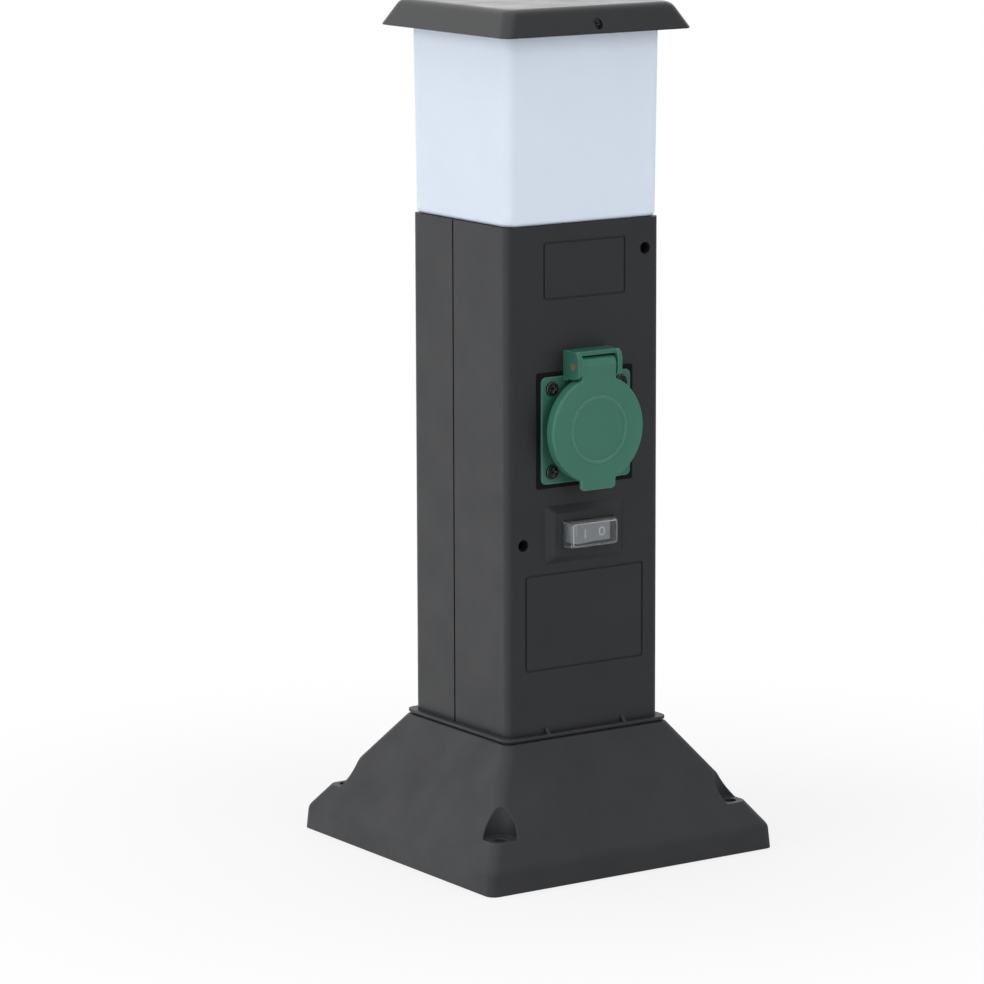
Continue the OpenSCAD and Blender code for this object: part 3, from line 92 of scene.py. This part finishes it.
def between(tree, share, colourA, colourB):
    mixer = tree.nodes.new("ShaderNodeMix")
    mixer.data_type = "RGBA"
    feed(tree, share, mixer.inputs[0])
    for socket, colour in zip([s for s in mixer.inputs if s.type == "RGBA"], (colourA, colourB)):
        feed(tree, colour, socket)
    return next(s for s in mixer.outputs if s.type == "RGBA")


def speckle(tree, scale, detail, shift=0.0):
    # noise in the object's own metres: scale 200 gives spots of about 5 mm
    place = addNode(tree, "ShaderNodeTexCoord")
    moved = addNode(tree, "ShaderNodeMapping", Location=(shift, shift, shift))
    spots = addNode(tree, "ShaderNodeTexNoise", Scale=scale, Detail=detail)
    tree.links.new(place.outputs["Object"], moved.inputs["Vector"])
    tree.links.new(moved.outputs["Vector"], spots.inputs["Vector"])
    return spots.outputs["Fac"]


def skinOf(finish):
    return finish.node_tree.nodes["Principled BSDF"]


def newFinish(name, colour, rough, metal=0.0):
    finish = bpy.data.materials.new(name)
    finish.use_nodes = True
    skin = skinOf(finish)
    skin.inputs["Base Color"].default_value = colour
    skin.inputs["Roughness"].default_value = rough
    skin.inputs["Metallic"].default_value = metal
    return finish


mouldLook = {
    "cloudScale": 28,  # slow clouds in the colour
    "cloudDetail": 4.0,
    "wipeScale": 60,  # rougher and smoother patches
    "wipeDetail": 5.0,
    "wipeShift": 3.7,
    "grainDetail": 2.0,
    "grainStrength": 0.5,
    "edgeSamples": 4,
}


def mouldedFinish(name, look):
    # moulded plastic or worked metal: colour clouds, a fine grain and soft edges
    mould, colour, rough = mouldLook, look["colour"], look["rough"]
    finish = newFinish(name, colour, rough, look.get("metal", 0.0))
    tree, skin = finish.node_tree, skinOf(finish)
    clouds = spanTo(tree, speckle(tree, mould["cloudScale"], mould["cloudDetail"]), 0, 1)
    dark, light = (shade(colour, 1 + sign * look["blotch"]) for sign in (-1, 1))
    tree.links.new(between(tree, clouds, dark, light), skin.inputs["Base Color"])
    wipes = speckle(tree, mould["wipeScale"], mould["wipeDetail"], mould["wipeShift"])
    wiped = spanTo(tree, wipes, rough - look["roughSpread"], rough + look["roughSpread"])
    tree.links.new(wiped, skin.inputs["Roughness"])
    soft = addNode(tree, "ShaderNodeBevel", Radius=look["edgeRadius"])
    soft.samples = mould["edgeSamples"]
    bump = addNode(tree, "ShaderNodeBump", Strength=mould["grainStrength"], Distance=look["grainDepth"])
    grain = speckle(tree, look["grainPerMetre"], mould["grainDetail"])
    tree.links.new(grain, bump.inputs["Height"])
    tree.links.new(soft.outputs["Normal"], bump.inputs["Normal"])
    tree.links.new(bump.outputs["Normal"], skin.inputs["Normal"])
    if "specular" in look:
        skin.inputs["Specular IOR Level"].default_value = look["specular"]
    return finish


def paintEdgeHighlight(finish, look):
    # a painted highlight: the base colour is lightened on edges, where the softened normal leaves the
    # true one;
    # the limits where it is full and where it is none are cosines of the angle between the two
    tree, skin = finish.node_tree, skinOf(finish)
    soft = next(n for n in tree.nodes if n.type == "BEVEL").outputs["Normal"]
    own = tree.nodes.new("ShaderNodeNewGeometry").outputs["True Normal"]
    match = reckon(tree, "VectorMath", "DOT_PRODUCT", soft, own).outputs["Value"]
    highlightShare = spanTo(tree, match, 1, 0, look["highlightFullAt"], look["highlightNoneAt"])
    plain = skin.inputs["Base Color"].links[0].from_socket
    tree.links.new(between(tree, highlightShare, plain, look["highlightColour"]), skin.inputs["Base Color"])
    return highlightShare


def dress(finish, *names):
    # hands one finish to CAD nodes
    for name in names:
        piece = nodes[name]
        if not piece.material_slots:
            piece.data.materials.append(finish)
        for place in piece.material_slots:
            place.link = "OBJECT"
            place.material = finish


postLook = {
    "colour": seen(44, 45, 47), "blotch": 0.06, "rough": 0.42, "roughSpread": 0.06, "specular": 0.42,
    "grainPerMetre": 1700, "grainDepth": 0.00004, "edgeRadius": 0.0004,
}
baseLook = {
    "colour": postLook["colour"], "blotch": 0.09, "rough": 0.52, "roughSpread": 0.08, "specular": 0.48,
    "grainPerMetre": 1500, "grainDepth": 0.00005, "edgeRadius": 0.0008,
    # the edges are painted lighter, a painted highlight along the collar's lip and the plinth's edges
    "highlightColour": seen(64, 66, 68), "highlightFullAt": 0.9, "highlightNoneAt": 0.995,
}
capLook = {
    "colour": postLook["colour"], "blotch": 0.05, "rough": 0.2, "roughSpread": 0.05, "specular": 0.55,
    "grainPerMetre": 1900, "grainDepth": 0.00003, "edgeRadius": 0.0008,
}
dress(mouldedFinish("postPlastic", postLook), "front_shell", "rear_shell")
baseFinish = mouldedFinish("basePlastic", baseLook)
paintEdgeHighlight(baseFinish, baseLook)
dress(baseFinish, "base_plinth", "base_collar")
dress(mouldedFinish("capPlastic", capLook), "cap")
print("post, base and cap dressed")

lidLook = {
    "colour": seen(57, 114, 96), "blotch": 0.04, "rough": 0.38, "roughSpread": 0.05,
    "grainPerMetre": 2400, "grainDepth": 0.00002, "edgeRadius": 0.0006,
    # the rims and the ring are painted lighter, a painted highlight
    "highlightColour": seen(108, 164, 146), "highlightFullAt": 0.9, "highlightNoneAt": 0.995,
}
flangeLook = {
    "colour": seen(54, 107, 91), "blotch": 0.05, "rough": 0.34, "roughSpread": 0.05,
    "grainPerMetre": 2400, "grainDepth": 0.00002, "edgeRadius": 0.0005,
    # the edges are painted lighter, a painted highlight
    "highlightColour": lidLook["highlightColour"], "highlightFullAt": 0.85, "highlightNoneAt": 0.995,
}
rubberLook = {
    "colour": seen(20, 20, 21), "blotch": 0.1, "rough": 0.75, "roughSpread": 0.08, "specular": 0.15,
    "grainPerMetre": 2600, "grainDepth": 0.00003, "edgeRadius": 0.0002,
}
pinLook = {
    "colour": seen(226, 156, 112), "blotch": 0.12, "rough": 0.25, "roughSpread": 0.08, "metal": 0.7,
    "grainPerMetre": 3000, "grainDepth": 0.00001, "edgeRadius": 0.0001,
}
lidFinish = mouldedFinish("lidPlastic", lidLook)
paintEdgeHighlight(lidFinish, lidLook)
dress(lidFinish, "socket_lid")
flangeFinish = mouldedFinish("flangePlastic", flangeLook)
paintEdgeHighlight(flangeFinish, flangeLook)
dress(flangeFinish, "socket_flange", "socket_core")
dress(mouldedFinish("sealRubber", rubberLook), "socket_gasket", "lid_seal", "lamp_gasket")
dress(mouldedFinish("pinCopper", pinLook), "hinge_pin")
print("outlet dressed")

zincLook = {
    "colour": seen(176, 178, 182), "blotch": 0.12, "rough": 0.34, "roughSpread": 0.12, "metal": 1.0,
    "grainPerMetre": 3000, "grainDepth": 0.00002, "edgeRadius": 0.0001,
}
blackScrewLook = {
    "colour": seen(44, 44, 47), "blotch": 0.15, "rough": 0.14, "roughSpread": 0.05, "metal": 0.6,
    "grainPerMetre": 3000, "grainDepth": 0.00002, "edgeRadius": 0.00025,
    # near white on the edges: painted glints round the heads and their cross recesses
    "highlightColour": seen(190, 186, 184), "highlightFullAt": 0.85, "highlightNoneAt": 0.985,
}
brassLook = {
    "colour": seen(206, 172, 96), "blotch": 0.1, "rough": 0.3, "roughSpread": 0.1, "metal": 1.0,
    "grainPerMetre": 2600, "grainDepth": 0.00001, "edgeRadius": 0.0001,
}
springLook = {
    "colour": seen(160, 162, 168), "blotch": 0.08, "rough": 0.28, "roughSpread": 0.08, "metal": 1.0,
    "grainPerMetre": 3000, "grainDepth": 0.00001, "edgeRadius": 0.0001,
}
dress(mouldedFinish("zincSteel", zincLook),
      "base_screws", "shell_screws", "clamp_screws", "terminal_screws", "contact_screws",
      "bracket_screws", "diffuser_screws", "holder_screws", "bulb_base")
blackScrewFinish = mouldedFinish("blackScrew", blackScrewLook)
paintEdgeHighlight(blackScrewFinish, blackScrewLook)
dress(blackScrewFinish, "socket_screws", "cap_screws")
dress(mouldedFinish("stampedBrass", brassLook),
      "line_contact", "neutral_contact", "earth_clips", "switch_blades", "lamp_sleeve", "lamp_contact")
dress(mouldedFinish("springWire", springLook), "lid_spring")
print("metal dressed")

rockerLook = {
    "colour": seen(180, 181, 184), "blotch": 0.05, "rough": 0.4, "roughSpread": 0.05,
    "grainPerMetre": 2600, "grainDepth": 0.00001, "edgeRadius": 0.0002,
}
bodyLook = {
    "colour": seen(30, 30, 32), "blotch": 0.06, "rough": 0.5, "roughSpread": 0.06,
    "grainPerMetre": 2200, "grainDepth": 0.00002, "edgeRadius": 0.0002,
}
bootLook = {
    "colour": seen(232, 236, 238), "blotch": 0.02, "rough": 0.08, "roughSpread": 0.03,
    "grainPerMetre": 900, "grainDepth": 0.00001, "edgeRadius": 0.0005,
    # the edges are painted near white, a painted highlight
    "highlightColour": seen(250, 250, 250), "highlightFullAt": 0.9, "highlightNoneAt": 0.995,
    "wallClear": 0.96,  # share of light that passes the walls, and the edges, which let less through and show white as a painted highlight
    "highlightClear": 0.15,
    "ior": 1.41,
}
dress(mouldedFinish("rockerPlastic", rockerLook), "switch_rocker")
dress(mouldedFinish("blackPlastic", bodyLook), "switch_body", "switch_bracket", "cable_clamp")
bootFinish = mouldedFinish("clearBoot", bootLook)
bootTree, bootSkin = bootFinish.node_tree, skinOf(bootFinish)
bootHighlight = paintEdgeHighlight(bootFinish, bootLook)
bootClear = spanTo(bootTree, bootHighlight, bootLook["wallClear"], bootLook["highlightClear"], 0, 1)
bootTree.links.new(bootClear, bootSkin.inputs["Transmission Weight"])
bootSkin.inputs["IOR"].default_value = bootLook["ior"]
dress(bootFinish, "switch_boot")

markLook = {
    "colour": seen(252, 252, 252), "blotch": 0.03, "rough": 0.5, "roughSpread": 0.05,
    "grainPerMetre": 2600, "grainDepth": 0.00001, "edgeRadius": 0.0001,
    "pivot": (0.0, -0.0377, 0.1534),
    "swing": 8.0,  # degrees that the rocker stands turned at rest
    "out": 0.0075,  # from the pivot to the ends of the rocker's front
    "dish": 0.0007,  # how much lower the front's middle lies
    "halfLength": 0.0101,
    "reach": 0.0052,  # from the pivot to each mark
    "height": 0.0042,
    "barWidth": 0.001,
    "ringWidth": 0.0036,
    "line": 0.0007,  # width of the ring's band
    "raised": 0.00012,
    "ringSteps": 40,
    "roundness": 0.8,  # 1 gives an ellipse, less a fuller ring
    "bevelShare": 0.6,  # the bar's bevel as a share of its raise
    "bevelSteps": 2,
}
markFinish = mouldedFinish("rockerMark", markLook)


def onRocker(side):
    # a frame on one half of the rocker's front: x along it, y up, z out of it
    m = markLook
    slope = math.atan2(m["dish"], m["halfLength"]) * side
    out = m["out"] - m["dish"] * (1 - m["reach"] / m["halfLength"])
    swing = Matrix.Rotation(math.radians(m["swing"]), 4, "Y")
    lay = Matrix.Translation((side * m["reach"], 0, out)) @ Matrix.Rotation(-slope, 4, "Y")
    stand = Matrix.Rotation(math.radians(90), 4, "X")
    return Matrix.Translation(m["pivot"]) @ stand @ swing @ lay


def addMark(name, shape):
    mesh = bpy.data.meshes.new(name)
    shape.to_mesh(mesh)
    shape.free()
    mesh.materials.append(markFinish)
    mark = addObject(name, mesh)
    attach(mark, "rocker")


def ringMark(name, place):
    # a flat band laid round as a tall ring
    m = markLook
    line, raised = m["line"], m["raised"]
    shape = bmesh.new()
    rings = []
    for inset, lift in ((0, -raised), (0, raised), (line, raised), (line, -raised)):
        ring = []
        for i in range(m["ringSteps"]):
            a = 2 * math.pi * i / m["ringSteps"]
            x, y = (math.copysign(abs(v) ** m["roundness"], v) for v in (math.cos(a), math.sin(a)))
            point = Vector(((m["ringWidth"] / 2 - inset) * x, (m["height"] / 2 - inset) * y, lift))
            ring.append(shape.verts.new(place @ point))
        rings.append(ring)
    for k, low in enumerate(rings):
        high = rings[(k + 1) % len(rings)]
        for i in range(m["ringSteps"]):
            j = (i + 1) % m["ringSteps"]
            shape.faces.new((low[i], low[j], high[j], high[i]))
    addMark(name, shape)


def barMark(name, place):
    m = markLook
    shape = bmesh.new()
    bmesh.ops.create_cube(shape, size=1)
    for v in shape.verts:
        v.co = place @ Vector((v.co.x * m["barWidth"], v.co.y * m["height"], v.co.z * 2 * m["raised"]))
    bmesh.ops.bevel(shape, geom=shape.edges[:], offset=m["raised"] * m["bevelShare"],
                    segments=m["bevelSteps"], affect="EDGES")
    addMark(name, shape)


barMark("onMark", onRocker(-1))
ringMark("offMark", onRocker(1))
print("switch dressed")

opalLook = {
    "colour": seen(225, 237, 253), "blotch": 0.015, "rough": 0.34, "roughSpread": 0.04,
    "grainPerMetre": 900, "grainDepth": 0.00001, "edgeRadius": 0.0008,
    "scatter": 0.25,  # share of light that spreads inside the wall, and how far in metres
    "scatterReach": 0.004,
}
whiteLook = {
    "colour": seen(232, 232, 228), "blotch": 0.03, "rough": 0.42, "roughSpread": 0.05,
    "grainPerMetre": 1800, "grainDepth": 0.00002, "edgeRadius": 0.0003,
}
opalFinish = mouldedFinish("opalPlastic", opalLook)
opalSkin = skinOf(opalFinish)
opalSkin.inputs["Subsurface Weight"].default_value = opalLook["scatter"]
opalSkin.inputs["Subsurface Radius"].default_value = (opalLook["scatterReach"],) * 3
opalSkin.inputs["Subsurface Scale"].default_value = 1.0
dress(opalFinish, "lamp_diffuser", "bulb_globe")
dress(mouldedFinish("whitePlastic", whiteLook),
      "lamp_tray", "lamp_holder", "bulb_housing", "terminal_block")
print("lamp dressed")

roomLook = {
    "floorSize": 12.0,
    "floorColour": (0.80, 0.80, 0.81, 1.0),
    "floorRough": 0.7,
    "glowNear": 0.75,  # share of plain white that the floor shows directly, beside the object
    "glowFar": 1.0,
    "glowFrom": 0.12,  # metres from the middle between which that share grows
    "glowTo": 0.4,
    "worldGrey": 0.45,
    "backdrop": (-0.58, 0.70, 0.42),  # towards the middle of the white backdrop
    "dimFrom": -0.5,  # cosine to that direction where reflections are dimmest, and where full
    "dimTo": 0.35,
    "dimShare": 0.37,
}


def seenDirectly(tree):
    # 1 for camera, glossy and transmission rays, which see the room as white
    path = tree.nodes.new("ShaderNodeLightPath")
    total = path.outputs["Is Camera Ray"]
    for ray in ("Is Glossy Ray", "Is Transmission Ray"):
        total = reckon(tree, "Math", "MAXIMUM", total, path.outputs[ray]).outputs["Value"]
    return total


def backdropLevel(tree, towards):
    # 1 for camera rays; reflections fade away from the white backdrop
    look = roomLook
    facing = reckon(tree, "VectorMath", "DOT_PRODUCT", towards, look["backdrop"]).outputs["Value"]
    dim = spanTo(tree, facing, look["dimShare"], 1.0, look["dimFrom"], look["dimTo"], smooth=True)
    path = tree.nodes.new("ShaderNodeLightPath")
    return reckon(tree, "Math", "MAXIMUM", path.outputs["Is Camera Ray"], dim).outputs["Value"]


def blendInto(tree, share, under, over, target):
    # mixes two shaders into the tree's output
    blend = tree.nodes.new("ShaderNodeMixShader")
    for socket, source in zip(blend.inputs, (share, under.outputs[0], over.outputs[0])):
        tree.links.new(source, socket)
    tree.links.new(blend.outputs[0], tree.nodes[target].inputs["Surface"])


half = roomLook["floorSize"] / 2
floorMesh = bpy.data.meshes.new("floor")
floorMesh.from_pydata([(-half, -half, 0), (half, -half, 0), (half, half, 0), (-half, half, 0)],
                      [], [(0, 1, 2, 3)])
floor = addObject("floor", floorMesh)
floorFinish = newFinish("floorPaint", roomLook["floorColour"], roomLook["floorRough"])
floorMesh.materials.append(floorFinish)
floorTree = floorFinish.node_tree
floorSpot = addNode(floorTree, "ShaderNodeTexCoord").outputs["Object"]
bearing = reckon(floorTree, "VectorMath", "NORMALIZE", floorSpot).outputs["Vector"]
away = reckon(floorTree, "VectorMath", "LENGTH", floorSpot).outputs["Value"]
fade = spanTo(floorTree, away, roomLook["glowNear"], roomLook["glowFar"],
              roomLook["glowFrom"], roomLook["glowTo"], smooth=True)
share = reckon(floorTree, "Math", "MULTIPLY", seenDirectly(floorTree), fade).outputs["Value"]
glow = addNode(floorTree, "ShaderNodeEmission", Color=white)
floorTree.links.new(backdropLevel(floorTree, bearing), glow.inputs["Strength"])
blendInto(floorTree, share, skinOf(floorFinish), glow, "Material Output")

world = bpy.data.worlds.new("studio")
bpy.context.scene.world = world
world.use_nodes = True
worldTree = world.node_tree
room = worldTree.nodes["Background"]
room.inputs["Color"].default_value = white
room.inputs["Strength"].default_value = roomLook["worldGrey"]
backdrop = addNode(worldTree, "ShaderNodeBackground", Color=white)
heading = addNode(worldTree, "ShaderNodeTexCoord").outputs["Generated"]
worldTree.links.new(backdropLevel(worldTree, heading), backdrop.inputs["Strength"])
blendInto(worldTree, seenDirectly(worldTree), room, backdrop, "World Output")

lampsLook = {
    "left": {"place": (-1.9, 0.2, 0.9), "aim": (0, 0, 0.2), "size": 1.4, "power": 14},
    "front": {"place": (0.5, -2.0, 1.0), "aim": (0, 0, 0.2), "size": 1.4, "power": 14.5},
    "above": {"place": (-0.2, 0.2, 2.0), "aim": (0, 0, 0.2), "size": 1.4, "power": 16},
}
for name, look in lampsLook.items():
    data = bpy.data.lights.new(name + "Lamp", "AREA")
    data.shape = "SQUARE"
    data.size = look["size"]
    data.energy = look["power"]
    lamp = addObject(name + "Lamp", data)
    lamp.location = look["place"]
    towards = Vector(look["aim"]) - Vector(look["place"])
    lamp.rotation_euler = towards.to_track_quat("-Z", "Y").to_euler()
    lamp.visible_glossy = False  # the room alone is mirrored, or flat tops turn white at low angles
print("room and lamps made")

cameraLook = {
    "azimuth": -34.147,
    "elevation": 10.351,
    "roll": -0.181,
    "distance": 2.2057,
    "focalPixels": 4727.7,
    "frameSide": 984,
    "sideways": -0.02045,
    "height": 0.16561,
    "sensor": 36,
    "clipEnd": 50,
}
az, el, tilt = (math.radians(cameraLook[k]) for k in ("azimuth", "elevation", "roll"))
back = Vector((math.sin(az) * math.cos(el), -math.cos(az) * math.cos(el), math.sin(el)))
right = Vector((math.cos(az), math.sin(az), 0))
up = back.cross(right)
right, up = (math.cos(tilt) * right + math.sin(tilt) * up,
             math.cos(tilt) * up - math.sin(tilt) * right)
spot = (Vector((0, 0, cameraLook["height"])) + cameraLook["sideways"] * right
        + cameraLook["distance"] * back)
cameraData = bpy.data.cameras.new("photoView")
cameraData.sensor_width = cameraLook["sensor"]
cameraData.lens = cameraLook["focalPixels"] / cameraLook["frameSide"] * cameraLook["sensor"]
cameraData.clip_end = cameraLook["clipEnd"]
camera = addObject("photoView", cameraData)
camera.matrix_world = Matrix((
    (right.x, up.x, back.x, spot.x),
    (right.y, up.y, back.y, spot.y),
    (right.z, up.z, back.z, spot.z),
    (0, 0, 0, 1)))
bpy.context.scene.camera = camera
bpy.context.scene.view_settings.view_transform = "Standard"
print("camera placed")
